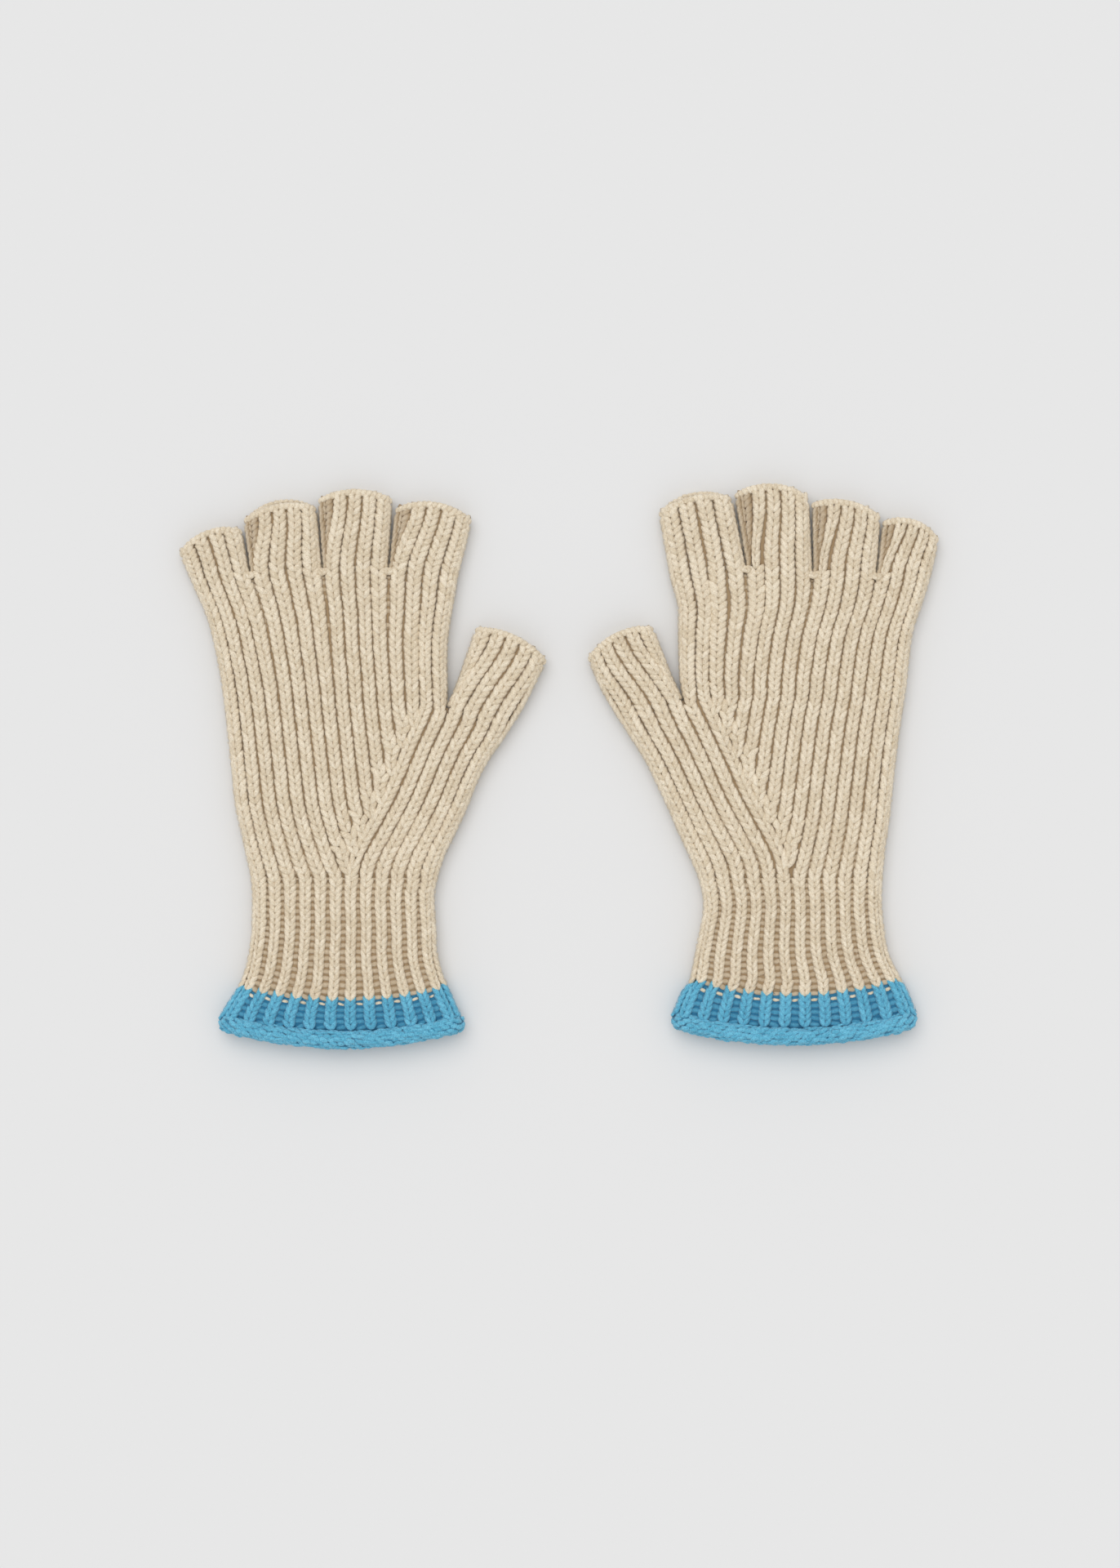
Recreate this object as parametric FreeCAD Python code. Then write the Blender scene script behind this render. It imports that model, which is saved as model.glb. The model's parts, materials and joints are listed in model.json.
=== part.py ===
"""A pair of rib-knit fingerless gloves, lying flat side by side.

Millimetres, +Z up. The gloves lie side by side along X with their fingers towards +Y, on the
plane z = 0. The origin is the centre of the pair's outline on that plane.

Each glove has its own plan coordinates (u, v): v runs from just below the narrowest line of the
wrist towards the fingers, and u runs from the wrist's middle towards the thumb. Every knitted tube
is a loft of flattened rings. Each ring stands upright over two plan points, one at each edge.
"""

import FreeCAD, Part
import math
import os

V = FreeCAD.Vector
UP = V(0, 0, 1)

# Thickness over both layers of knitting, and of one layer.
HAND_THICK = 11.0
DIGIT_THICK = 10.0
CUFF_THICK = 14.0
HAND_WALL = 2.6
DIGIT_WALL = 2.4
ROLL_WALL = 4.6
SOLE = 0.3  # the rings start this far below the surface, and are then cut off flat along it

JOINT_GAP = 0.3  # clear air between a bending tube's rounded end and the face behind it
DIGIT_GAP = 0.9  # between neighbouring finger tubes at their roots
FLOOR_GAP = 0.2  # the thin cast-off edges stay this far off the surface
EDGE_LENGTH = 1.8  # a cast-off edge, along its tube
POST_WIDTH = 2.4  # the stitches that close the hand between two fingers
POST_LENGTH = 4.0
WRIST_HINGE_V = 2.0

SHIFT_V = -54.08  # from a glove's own v to the pair's Y
TALL = 40.0  # height of a cutter
FAR = 300.0  # past the end of everything

# A digit is its two root points, little-finger side first, the same two points at its open end,
# and how far that end's arc stands proud of the line between them.
GLOVES = {
    "left": {
        "thumb_side": 1,
        "wrist_x": -87.94,
        "apex": (5.5, 12.7),
        # (v, edge on the little-finger side, edge on the index side)
        "hand": [
            (4, -37.6, 38.2), (17, -39.8, 40.5), (37, -44.0, 42.0), (67, -47.5, 42.6),
            (87, -49.8, 42.8), (107, -53.8, 43.2), (120, -58.2, 45.2), (136, -65.0, 48.4),
        ],
        # (v, edge on the little-finger side, edge on the thumb side, thickness)
        "wrist": [
            (14, -38.8, 40.0, 11), (0, -37.5, 37.5, 11), (-13, -38.0, 38.3, 11),
            (-25, -39.6, 39.3, 11.4), (-33, -42.2, 41.8, 12), (-40, -46.8, 44.8, 12.8),
            (-47, -50.4, 48.2, 13.6), (-54, -51.2, 49.6, 14), (-66, -50.6, 50.0, 14),
        ],
        # (v, edge inside the hand, edge on the thumb side)
        "gusset": [(7, 2.0, 38.6), (27, 12.0, 46.4), (47, 22.0, 55.0)],
        # Each arc across the cuff is its v on the glove's middle line, and its radius.
        "border": (-40.7, 208),
        "roll_top": (-54.0, 230),
        "hem": (-61.3, 175),
        "little": ((-62.6, 131.0), (-38.2, 132.4), (-67.2, 142.7), (-42.3, 151.9), 3.5),
        "ring": ((-38.2, 133.6), (-8.5, 135.2), (-40.6, 155.2), (-10.9, 159.6), 3.4),
        "middle": ((-8.5, 135.2), (18.8, 135.6), (-10.4, 162.7), (20.0, 163.0), 3.8),
        "index": ((18.8, 135.6), (48.0, 132.6), (21.3, 159.0), (51.9, 154.3), 4.6),
        "thumb": ((43.9, 78.7), (67.1, 66.6), (54.3, 110.7), (82.6, 98.0), 3.5),
    },
    "right": {
        "thumb_side": -1,
        "wrist_x": 95.86,
        "apex": (7.3, 16.0),
        "hand": [
            (4, -36.8, 37.6), (17, -37.7, 41.0), (37, -40.2, 44.0), (67, -43.7, 46.0),
            (87, -46.7, 46.8), (107, -49.2, 47.0), (120, -53.3, 47.8), (136, -58.6, 51.4),
        ],
        "wrist": [
            (14, -37.4, 40.4, 11), (0, -36.7, 37.0, 11), (-13, -37.7, 38.3, 11),
            (-25, -40.2, 40.4, 11.4), (-33, -44.0, 42.3, 12), (-40, -47.8, 46.2, 12.8),
            (-47, -50.6, 49.4, 13.6), (-54, -50.8, 49.6, 14), (-66, -50.0, 49.6, 14),
        ],
        "gusset": [(7, 3.0, 38.6), (27, 13.0, 47.0), (47, 24.0, 56.2)],
        "border": (-38.5, 190),
        "roll_top": (-52.0, 230),
        "hem": (-59.6, 175),
        "little": ((-57.2, 131.6), (-33.8, 133.0), (-59.3, 145.7), (-36.0, 153.3), 4.8),
        "ring": ((-33.8, 133.0), (-7.7, 133.6), (-36.0, 156.0), (-5.6, 160.3), 4.6),
        "middle": ((-7.7, 133.6), (19.0, 134.2), (-4.6, 165.6), (23.8, 164.9), 4.2),
        "index": ((19.0, 134.2), (50.2, 131.0), (24.4, 163.7), (54.6, 157.6), 3.0),
        "thumb": ((47.6, 81.8), (70.1, 70.3), (57.0, 111.0), (83.7, 97.3), 5.0),
    },
}
FINGERS = ("little", "ring", "middle", "index")
DIGITS = FINGERS + ("thumb",)


def plan(glove, point):
    """A glove's (u, v) as a point of the pair's frame at z = 0."""
    return V(glove["wrist_x"] + glove["thumb_side"] * point[0], point[1] + SHIFT_V, 0)


def between(a, b, share):
    """The plan point at a share of the way from a to b, or past b when the share is over 1."""
    return (a[0] + (b[0] - a[0]) * share, a[1] + (b[1] - a[1]) * share)


def ring(glove, edge_a, edge_b, low, high, inset):
    """A flattened ring from z = low to z = high over two plan points, half round at its edges."""
    a, b = plan(glove, edge_a), plan(glove, edge_b)
    along = (b - a).normalize()
    radius = (high - low) / 2
    middle = UP * (low + high) / 2
    a_out, b_out = a + along * inset + middle, b - along * inset + middle
    a_in, b_in = a_out + along * radius, b_out - along * radius
    rise = UP * radius
    return Part.Wire([
        Part.LineSegment(a_in - rise, b_in - rise).toShape(),
        Part.Arc(b_in - rise, b_out, b_in + rise).toShape(),
        Part.LineSegment(b_in + rise, a_in + rise).toShape(),
        Part.Arc(a_in + rise, a_out, a_in - rise).toShape(),
    ])


def slab(low, high):
    """Everything between two heights."""
    return Part.makeBox(2 * FAR, 2 * FAR, high - low, V(-FAR, -FAR, low))


def outside_of(glove, stations):
    """The solid within a tube's outer surface, through (edge_a, edge_b, thickness) stations."""
    return Part.makeLoft([ring(glove, a, b, -SOLE, thick, 0.0) for a, b, thick in stations], True)


def hollow_of(glove, stations, wall):
    """The space inside the same tube."""
    return Part.makeLoft([ring(glove, a, b, wall, thick - wall, wall) for a, b, thick in stations], True)


def upright(glove, points):
    """A tall prism over a plan outline."""
    corners = [plan(glove, p) - UP * TALL / 2 for p in points]
    return Part.Face(Part.makePolygon(corners + corners[:1])).extrude(UP * TALL)


def disc(centre, radius):
    return Part.makeCylinder(radius, TALL, centre - UP * TALL / 2)


def cuff_disc(glove, arc):
    """A disc whose lower rim is one of the cuff's arcs."""
    v, radius = arc
    return disc(plan(glove, (0, v)) + V(0, radius, 0), radius)


def rounded_end(hinge, forward, radius):
    """What lies ahead of a hinge, with a half-round end about the hinge's axis."""
    ahead = forward * FAR
    reach = UP * TALL / 2
    low, high = hinge - UP * radius, hinge + UP * radius
    outline = [high, high + reach, high + reach + ahead, low - reach + ahead, low - reach, low]
    edges = [Part.LineSegment(p, q).toShape() for p, q in zip(outline, outline[1:])]
    edges.append(Part.Arc(low, hinge - forward * radius, high).toShape())
    face = Part.Face(Part.Wire(edges))
    across = forward.cross(UP) * FAR
    face.translate(across * -1)
    return face.extrude(across * 2)


def root_line(glove, name):
    """The v at which the hand ends under a finger."""
    return (glove[name][0][1] + glove[name][1][1]) / 2


def digit_hinge(glove, name):
    """A digit's hinge point, and the way it points in plan. All fingers bend about X."""
    root_a, root_b = glove[name][:2]
    if name == "thumb":
        root = plan(glove, between(root_a, root_b, 0.5))
        across = plan(glove, root_b) - plan(glove, root_a)
        forward = UP.cross(across).normalize() * glove["thumb_side"]
    else:
        root = plan(glove, ((root_a[0] + root_b[0]) / 2, root_line(glove, name)))
        forward = V(0, 1, 0)
    return root + forward * (DIGIT_THICK / 2 + JOINT_GAP) + UP * DIGIT_THICK / 2, forward


def wrist_hinge(glove):
    return plan(glove, (0, WRIST_HINGE_V)) + UP * HAND_THICK / 2, V(0, -1, 0)


def digit_stations(glove, name):
    """A digit's tube from behind its root to past its open end, a little in from its neighbours."""
    root_a, root_b, tip_a, tip_b, _ = glove[name]
    squeeze = DIGIT_GAP / 2 / math.dist(root_a, root_b)
    stations = []
    for share in (-0.25, 0.35, 1.0, 1.3):
        a, b = between(root_a, tip_a, share), between(root_b, tip_b, share)
        stations.append((between(a, b, squeeze), between(b, a, squeeze), DIGIT_THICK))
    return stations


def end_disc(glove, name, short=0.0):
    """The disc whose rim is the arc at a digit's open end, with its radius cut short."""
    root_a, root_b, tip_a, tip_b, bulge = glove[name]
    a, b = plan(glove, tip_a), plan(glove, tip_b)
    radius = (b - a).Length ** 2 / (8 * bulge) + bulge / 2
    outward = UP.cross(b - a).normalize() * glove["thumb_side"]
    return disc((a + b) * 0.5 - outward * (radius - bulge), radius - short)


def make_digit(glove, name):
    """A digit's knitted tube and its cast-off edge."""
    stations = digit_stations(glove, name)
    hinge, forward = digit_hinge(glove, name)
    outside = outside_of(glove, stations).common(rounded_end(hinge, forward, DIGIT_THICK / 2))
    shell = outside.common(slab(0.0, DIGIT_THICK)).cut(hollow_of(glove, stations, DIGIT_WALL))
    body_disc = end_disc(glove, name, EDGE_LENGTH)
    edge = shell.common(end_disc(glove, name)).cut(body_disc)
    return shell.common(body_disc), edge.cut(slab(-SOLE, FLOOR_GAP))


def make_hand(glove):
    """The hand's tube, and the gusset that carries its ribs on towards the thumb."""
    root_a, root_b, tip_a, tip_b, _ = glove["thumb"]
    hand = [((a, v), (b, v), HAND_THICK) for v, a, b in glove["hand"]]
    gusset = [((a, v), (b, v), HAND_THICK) for v, a, b in glove["gusset"]]
    for share, thick in ((0.0, HAND_THICK), (0.3, DIGIT_THICK)):
        gusset.append((between(root_a, tip_a, share), between(root_b, tip_b, share), thick))
    beyond_thumb = upright(glove, [between(root_a, root_b, -0.3), between(root_a, root_b, 1.3),
                                   between(root_b, tip_b, 2.0), between(root_a, tip_a, 2.0)])
    outside = outside_of(glove, hand).fuse(outside_of(glove, gusset).cut(beyond_thumb))
    hollow = hollow_of(glove, hand, HAND_WALL).fuse(hollow_of(glove, gusset, HAND_WALL))

    wrist_line = WRIST_HINGE_V + HAND_THICK / 2 + JOINT_GAP
    crest = [(-FAR, wrist_line), (-FAR, root_line(glove, "little"))]
    for name, neighbour in zip(FINGERS, FINGERS[1:]):
        step_u = glove[name][1][0]
        crest += [(step_u, root_line(glove, name)), (step_u, root_line(glove, neighbour))]
    crest += [(FAR, root_line(glove, "index")), (FAR, wrist_line)]
    whole = outside.common(slab(0.0, HAND_THICK)).cut(hollow).common(upright(glove, crest))

    apex = glove["apex"]
    thumb_side = upright(glove, [apex, (apex[0], -FAR), (FAR, -FAR), (FAR, root_a[1]), root_a])
    return whole.cut(thumb_side), whole.common(thumb_side)


def make_crotches(glove):
    """The stitches that join the two layers between neighbouring fingers."""
    room = slab(HAND_WALL, HAND_THICK - HAND_WALL)
    posts = []
    for name, neighbour in zip(FINGERS, FINGERS[1:]):
        middle = glove[name][1][0]
        low_u, high_u = middle - POST_WIDTH / 2, middle + POST_WIDTH / 2
        top = min(root_line(glove, name), root_line(glove, neighbour))
        base = top - POST_LENGTH
        posts.append(upright(glove, [(low_u, base), (high_u, base), (high_u, top), (low_u, top)]).common(room))
    return Part.makeCompound(posts)


def make_cuff(glove):
    """The ribbed wrist, the contrast band and the rolled edge."""
    stations = [((a, v), (b, v), thick) for v, a, b, thick in glove["wrist"]]
    hinge, forward = wrist_hinge(glove)
    outside = outside_of(glove, stations).common(rounded_end(hinge, forward, HAND_THICK / 2))
    outside = outside.common(slab(0.0, CUFF_THICK))
    shell = outside.cut(hollow_of(glove, stations, HAND_WALL))
    border, roll_top, hem = (cuff_disc(glove, glove[arc]) for arc in ("border", "roll_top", "hem"))
    wrist = shell.common(border)
    band = shell.cut(border).common(roll_top)
    roll = outside.cut(hollow_of(glove, stations, ROLL_WALL)).cut(roll_top).common(hem)
    return wrist, band, roll


def make_glove(glove):
    """Every piece of one glove by name."""
    pieces = {}
    pieces["wrist_rib"], pieces["cuff_band"], pieces["cuff_roll"] = make_cuff(glove)
    pieces["hand_body"], pieces["thumb_gusset"] = make_hand(glove)
    pieces["crotch_stitches"] = make_crotches(glove)
    for name in DIGITS:
        pieces[name + "_tube"], pieces[name + "_edge"] = make_digit(glove, name)
    return pieces


def main():
    os.makedirs("parts", exist_ok=True)
    for side, glove in GLOVES.items():
        for piece, shape in make_glove(glove).items():
            shape.exportStep(f"parts/{side}_{piece}.step")
            print(side, piece, len(shape.Solids), shape.isValid(), round(shape.Volume / 1000, 2), "cm3")


main()
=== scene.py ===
import bpy
import json
import math
import numpy as np
from collections import defaultdict
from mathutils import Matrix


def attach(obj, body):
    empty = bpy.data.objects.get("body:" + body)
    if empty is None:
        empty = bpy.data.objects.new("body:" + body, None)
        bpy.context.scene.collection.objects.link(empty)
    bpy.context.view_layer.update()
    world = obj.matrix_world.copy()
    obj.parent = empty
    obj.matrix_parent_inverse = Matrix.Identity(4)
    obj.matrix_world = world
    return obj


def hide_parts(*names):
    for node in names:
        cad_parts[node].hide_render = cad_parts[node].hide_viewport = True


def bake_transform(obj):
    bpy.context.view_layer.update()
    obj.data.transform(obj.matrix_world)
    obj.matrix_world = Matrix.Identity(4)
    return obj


# A pair of rib-knit gloves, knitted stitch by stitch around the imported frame. Lengths here are
# millimetres in each glove's own plan: u runs from the wrist's middle towards the thumb, v from the wrist
# to the fingertips.
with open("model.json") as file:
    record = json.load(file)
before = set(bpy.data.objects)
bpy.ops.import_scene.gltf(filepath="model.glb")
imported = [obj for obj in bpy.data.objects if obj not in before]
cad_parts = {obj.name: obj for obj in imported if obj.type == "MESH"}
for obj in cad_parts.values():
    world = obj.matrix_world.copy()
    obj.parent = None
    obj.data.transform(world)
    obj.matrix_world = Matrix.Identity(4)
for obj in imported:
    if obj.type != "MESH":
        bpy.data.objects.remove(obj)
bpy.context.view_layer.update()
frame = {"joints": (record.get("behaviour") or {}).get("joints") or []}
rng = np.random.default_rng(11)
MM = 0.001
JOINTS = {joint["name"]: joint for joint in frame["joints"]}

# ---------------------------------------------------------------- the shape of each glove

WRIST_TOP = 7.8  # where the hand begins, and the wrist's rib ends
YARN_SKIN = 0.95  # from the line through a stitch's yarn out to its surface
ROUNDING = 6.0  # how far in from a folded edge the knitting is still turning over
LINING_DEPTH, LINING_WALL = 1.25, 1.0  # of the closed shell under the stitches

WRIST_ROWS, BAND_ROWS, GUSSET_ROWS, HAND_ROWS = 18, 5, 25, 19
CHAIN_ROWS = 27  # of the chain beside the gusset's seam
DIGIT_ROWS = {"little": 6, "ring": 9, "middle": 11, "index": 10, "thumb": 12}
FINGERS = ("little", "ring", "middle", "index")

WRIST_RIBS, PALM_RIBS, GUSSET_RIBS, RIBS_PER_FINGER = 12, 16, 5, 4
BORN_FIRST, BORN_LAST = 6, 13  # the palm's ribs that start at the gusset's seam
CHAIN_RIB, EDGE_RIB = 14, 15  # the palm's last two, which run up beside the seam
# Added to a width before its ribs share it, because the folds at both its ends take up part of a rib.
PALM_SPARE, DIGIT_SPARE = 5.3, 5.7

CUFF_HALF, ROLL_HALF = 47.0, 48.0  # u of the cuff's edge at the border of the colours, and at the roll
# Heights v, and the thickness of both layers there.
THICKNESS = ([-56, -50, -42, -28, -5, 110, 140], [11.4, 11.6, 12.2, 11.2, 10.4, 10.2, 9.4])

# Outlines are plan points from the wrist up: outer on the little finger's side, thumb_outer on the
# thumb's, thumb_inner between thumb and hand, and index_outer from there to the fingertips. crotches are
# the roots of the gaps between fingers, and slots the two points at the open end of each gap. bulges are
# how far each open end stands proud of its own chord, and peek how much further its lower layer does.
# flanked names the fingers with one more rib that starts in a crotch, on the flank_side. seam bounds the
# gusset. Each arc across the cuff is its v on the middle line, and its radius.
GLOVES = {
    "left": {
        "outer": [
            (-50.6, -53), (-50.8, -48.3), (-41.8, -33.3), (-38.2, -18.3), (-37.5, -3.3), (-37.8, 6.7),
            (-39.8, 16.7), (-44.2, 36.7), (-45.8, 51), (-47.5, 66.7), (-49.8, 86.7), (-53.8, 106.7),
            (-56.8, 116.7), (-61.2, 126.7), (-65.5, 136.7), (-67.6, 140.6)],
        "thumb_outer": [
            (49.7, -54), (48.5, -48.3), (41.8, -33.3), (38.8, -23.3), (38.2, -13), (37.5, 0), (38.5, 6.7),
            (41.5, 16.7), (46.2, 26.7), (50.8, 36.7), (54.8, 46.7), (60, 56.7), (67, 66.7), (73.2, 76.7),
            (78.5, 86.7), (83.4, 97)],
        "thumb_inner": [(42.8, 79.3), (47.6, 92), (54, 110.7)],
        "index_outer": [
            (42.8, 79.3), (42.8, 86.7), (42.8, 101.7), (43.8, 111.7), (45.5, 121.7), (47.2, 131.7),
            (49.8, 141.7), (52, 151), (53, 154.6)],
        "crotches": [(-38.2, 133.3), (-8.5, 134.7), (18.5, 135)],
        "slots": [
            ((-41.6, 151), (-41.1, 154.7)), ((-10.9, 160), (-10.7, 163)), ((20.2, 163.3), (20.9, 159.3))],
        "bulges": {"little": 4.0, "ring": 3.2, "middle": 3.4, "index": 4.4, "thumb": 3.4},
        "flanked": ("ring", "middle", "index"),
        "flank_side": -1,  # the little-finger side
        "peek": {"ring": 1.8},
        "seam": [
            (6.3, 7.8), (6.9, 12.5), (9.4, 18.6), (20.4, 38.5), (26.4, 52.2), (31, 63.7), (35.4, 73.5),
            (37.2, 81), (37.0, 86.7)],
        "border": (-40.9, 190), "roll_top": (-52.9, 230), "hem": (-61.4, 175),
    },
    "right": {
        "outer": [
            (-50.4, -53), (-51, -48.3), (-47.3, -38.3), (-44, -32), (-39.7, -23.3), (-37.7, -13.3),
            (-36.7, 0), (-37.7, 16.7), (-39.7, 31.7), (-41.3, 46.7), (-43.7, 66.7), (-46.7, 86.7),
            (-49, 106.7), (-52, 116.7), (-55.3, 126.7), (-57.9, 136.7), (-60.2, 146.6)],
        "thumb_outer": [
            (49.9, -54), (49.7, -48.3), (45.7, -38.3), (42.3, -33.3), (40.3, -23.3), (38.3, -13.3),
            (36.7, -3.3), (38.3, 6.7), (42.3, 16.7), (47, 26.7), (51.3, 36.7), (56, 46.7), (61, 56.7),
            (67.3, 66.7), (73.7, 76.7), (79.3, 86.7), (84.2, 98)],
        "thumb_inner": [(45.3, 82.3), (50, 93), (57, 111.2)],
        "index_outer": [
            (45.3, 82.3), (46.6, 91.7), (47, 106.7), (47, 116.7), (47.9, 122.5), (50.4, 131.7),
            (52.2, 141.7), (54, 151.7), (55.2, 157.4)],
        "crotches": [(-34.3, 132.7), (-8.3, 133.3), (19, 135.7)],
        "slots": [
            ((-36.7, 154.3), (-36.2, 156)), ((-7.8, 161.7), (-6.9, 164)), ((24.1, 165.3), (24.7, 164))],
        "bulges": {"little": 3.8, "ring": 3.2, "middle": 4.2, "index": 3.2, "thumb": 3.6},
        "flanked": ("little", "ring", "middle"),
        "flank_side": 1,
        "peek": {"index": 1.6},
        "seam": [
            (6.9, 7.8), (7.6, 14.5), (10.4, 21.5), (21, 41), (27, 54.5), (32.5, 66.5), (36.6, 75.5),
            (39.0, 82.5), (40.4, 89.5)],
        "border": (-39.0, 170), "roll_top": (-51.8, 230), "hem": (-60.2, 175),
    },
}


def smooth(points, steps=6):
    """A plan curve that passes smoothly through a few points."""
    p = np.array(points, float)
    q = np.vstack([2 * p[0] - p[1], p, 2 * p[-1] - p[-2]])
    t = np.linspace(0, 1, steps, endpoint=False)[:, None]
    runs = []
    for a, b, c, d in zip(q, q[1:], q[2:], q[3:]):
        square = (a - 2.5 * b + 2 * c - d / 2) * t**2
        cube = (1.5 * (b - c) + (d - a) / 2) * t**3
        runs.append(b + (c - a) / 2 * t + square + cube)
    return np.vstack(runs + [p[-1:]])


def lengths(curve):
    """The length of a curve up to each of its points."""
    return np.concatenate([[0], np.cumsum(np.linalg.norm(np.diff(curve, axis=0), axis=1))])


def along(curve, share):
    """Points at shares of a curve's length. Shares past its ends run straight on."""
    s = lengths(curve)
    want = np.asarray(share, float) * s[-1]
    inside = np.clip(want, 0, s[-1])
    out = np.stack([np.interp(inside, s, curve[:, 0]), np.interp(inside, s, curve[:, 1])], -1)
    first = (curve[1] - curve[0]) / (s[1] - s[0])
    last = (curve[-1] - curve[-2]) / (s[-1] - s[-2])
    out += np.minimum(want, 0)[..., None] * first + np.maximum(want - s[-1], 0)[..., None] * last
    return out


def at_height(curve, v):
    """A curve's u at given v."""
    return np.interp(v, curve[:, 1], curve[:, 0])


def closed_loop(loop):
    """A closed loop's length, and a function from distances along it to its points."""
    s = lengths(loop)

    def on(t):
        t = t % s[-1]
        return np.stack([np.interp(t, s, loop[:, c]) for c in range(3)], -1)

    return s[-1], on


def ease(x):
    """0 to 1, slow at both ends."""
    x = np.clip(x, 0, 1)
    return x * x * (3 - 2 * x)


def mix(a, b, w):
    return a + (b - a) * w


def unit(a):
    return a / np.maximum(np.linalg.norm(a, axis=-1, keepdims=True), 1e-9)


class Glove:
    """One glove's outline, its surface, and the paths of its ribs."""

    def __init__(self, side):
        shape = GLOVES[side]
        self.side, self.shape = side, shape
        self.sign = 1 if side == "left" else -1
        wrist = JOINTS[f"{side}_wrist_bend"]["pos_m"]
        self.origin = np.array([wrist[0] / MM, wrist[1] / MM - 2.0])  # the wrist bends 2 mm above v = 0
        self.outer = smooth(shape["outer"])
        self.thumb_outer = smooth(shape["thumb_outer"])
        self.thumb_inner = smooth(shape["thumb_inner"])
        self.index_outer = smooth(shape["index_outer"])
        self.seam = smooth(shape["seam"])
        self.crotch = np.array(shape["thumb_inner"][0])
        self.crotches = np.array(shape["crotches"])
        self.thumb_root = along(self.thumb_outer, self.share_at(self.thumb_outer, self.crotch[1] - 12.5))
        self.flanks = []  # the two sides of each slot between fingers
        for crotch, (low, high) in zip(self.crotches, shape["slots"]):
            self.flanks.append((smooth([crotch, mix(crotch, np.array(low), 0.5), low]),
                                smooth([crotch, mix(crotch, np.array(high), 0.5), high])))
        edges = [self.outer, self.thumb_outer, self.thumb_inner, self.index_outer]
        edges += [flank for pair in self.flanks for flank in pair]
        self.segments = np.vstack([self.run_on(e) for e in edges])
        self.top = np.vstack([[along(self.outer, self.share_at(self.outer, 131.0))], self.crotches,
                              [along(self.index_outer, self.share_at(self.index_outer, 133.0))]])

    def share_at(self, curve, v):
        s = lengths(curve)
        return np.interp(v, curve[:, 1], s) / s[-1]

    def run_on(self, curve, extra=15.0):
        """A curve's segments, with both ends that are open edges of the knitting run straight on."""
        ends = [curve]
        if not np.allclose(curve[0], self.crotch) and curve[0][1] < 0:
            ends.insert(0, curve[:1] + unit(curve[:1] - curve[1:2]) * extra)
        ends.append(curve[-1:] + unit(curve[-1:] - curve[-2:-1]) * extra)
        c = np.vstack(ends)
        return np.stack([c[:-1], c[1:]], 1)

    def edge_distance(self, uv):
        """Distance in plan to the nearest folded edge."""
        a, b = self.segments[:, 0], self.segments[:, 1]
        d = b - a
        best = np.full(len(uv), 1e9)
        for start in range(0, len(a), 24):
            aa, dd = a[start:start + 24], d[start:start + 24]
            w = uv[:, None, :] - aa
            t = np.clip((w * dd).sum(-1) / (dd * dd).sum(-1), 0, 1)
            best = np.minimum(best, np.linalg.norm(w - dd * t[..., None], axis=-1).min(1))
        return best

    def thickness(self, v):
        return np.interp(v, *THICKNESS)

    def height(self, uv, sunk=0.0):
        """Half the distance between the two layers, through the yarn, or sunk below it."""
        half = self.thickness(uv[:, 1]) / 2 - YARN_SKIN - sunk
        near = np.clip((self.edge_distance(uv) - YARN_SKIN - sunk) / (ROUNDING - sunk), 0, 1)
        u, v = uv[:, 0], uv[:, 1]
        wave = 0.3 * np.sin(u / 11 + 1.0) * np.sin(v / 17) + 0.2 * np.sin(u / 5 + v / 9)
        return (half + wave * (sunk < 2)) * np.sqrt(1 - (1 - near) ** 2)

    def lift(self, uv, layer=1, sunk=0.0):
        """Plan points onto the upper (1) or lower (-1) layer."""
        middle = self.thickness(uv[:, 1]) / 2
        return np.column_stack([uv, middle + layer * self.height(uv, sunk)])

    def place(self, xyz):
        """From the glove's own millimetres to the frame's metres."""
        out = np.array(xyz, float)
        out[:, 0] = self.origin[0] + self.sign * out[:, 0]
        out[:, 1] += self.origin[1]
        return out * MM

    def arc(self, name, u):
        """v of one of the arcs across the cuff."""
        v, radius = self.shape[name]
        return v + radius - np.sqrt(radius**2 - np.asarray(u) ** 2)

    # Rib paths: plan points at row numbers. Row 0 is where the hand begins. Rows below it are negative.

    def wrist_rib(self, i, rows):
        """Rib i across the wrist, down to the rolled edge."""
        rows = np.asarray(rows, float)

        def across(v):
            low, high = at_height(self.outer, v), at_height(self.thumb_outer, v)
            first = np.interp(v, [-48, -20, 8], [4.7, 3.8, 3.6])
            return mix(low + first, high - first, i / (WRIST_RIBS - 1))

        u = across(-40.0)  # about where the colours meet
        border, roll = self.arc("border", u), self.arc("roll_top", u)
        v = np.interp(-rows, [0, WRIST_ROWS, WRIST_ROWS + BAND_ROWS], [WRIST_TOP, border, roll])
        beyond = np.minimum(rows + WRIST_ROWS + BAND_ROWS, 0) * 2.6  # rows past the roll's top
        return np.stack([across(v + beyond), v + beyond], -1)

    def hand_height(self, rows, u):
        """v of a row of the hand, which bends to meet the fingers' roots."""
        v_crotch = self.crotch[1]
        top = np.interp(u, self.top[:, 0], self.top[:, 1])
        lower = mix(WRIST_TOP, v_crotch, rows / GUSSET_ROWS)
        upper = mix(v_crotch, top, (rows - GUSSET_ROWS) / HAND_ROWS)
        return np.where(rows < GUSSET_ROWS, lower, upper)

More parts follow.
